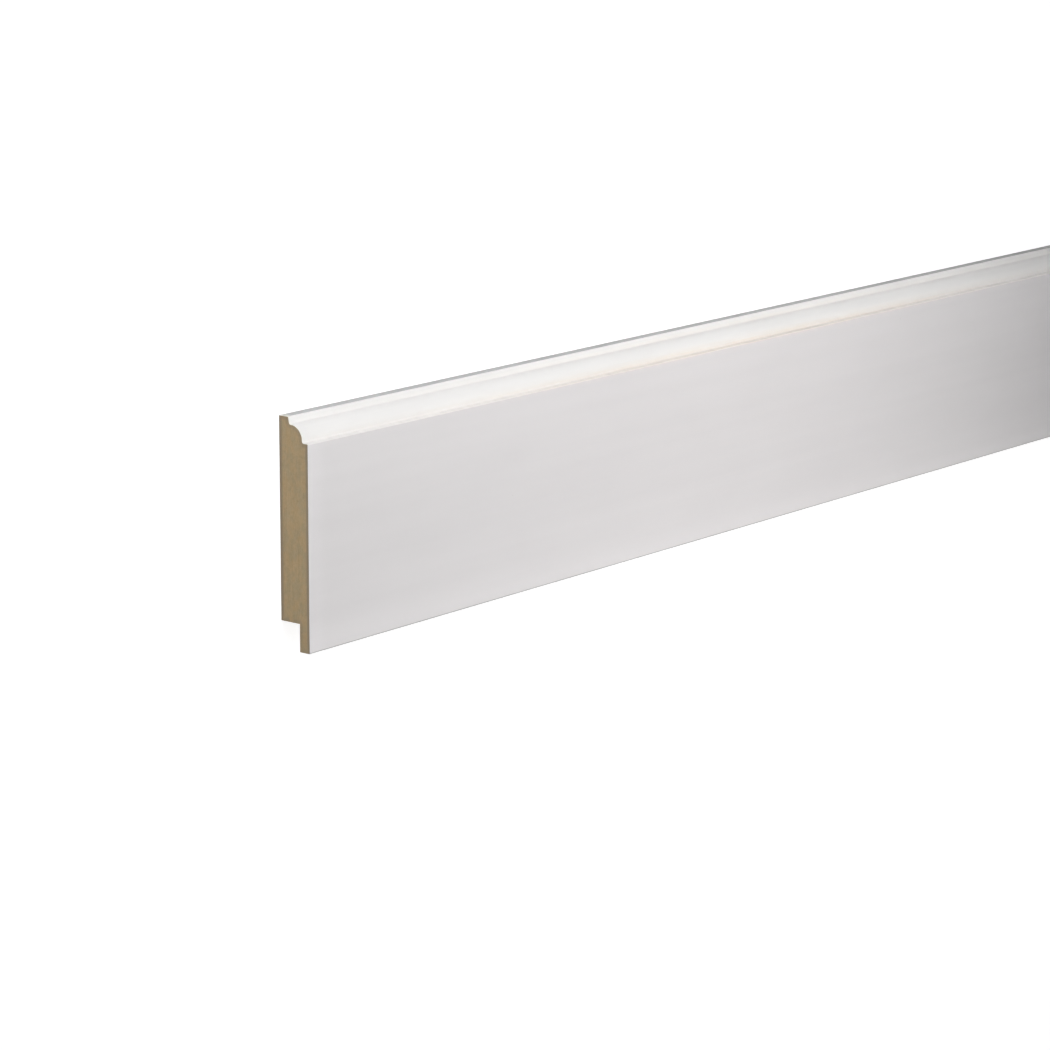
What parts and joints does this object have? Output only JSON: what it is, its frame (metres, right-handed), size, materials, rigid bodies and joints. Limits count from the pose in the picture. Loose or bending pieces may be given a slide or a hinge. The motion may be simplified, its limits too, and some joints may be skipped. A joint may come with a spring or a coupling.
{
  "type": "skirting board length",
  "caption": "Primed MDF skirting board length with a rounded ovolo moulding over a small ledge along its top edge and a rebate along the bottom of its back.",
  "frame": {"origin": "middle of the footprint of the board lying on its back, at the plane of the flat back", "axes": "+X along the length, away from the cut end that the picture shows; +Y to the moulded top edge; +Z out of the painted face"},
  "size_m": [2.4, 0.119, 0.019],
  "materials": {
    "primed_mdf": "satin"
  },
  "bodies": {
    "root": {"skirting_board": "primed_mdf"}
  },
  "joints": []
}
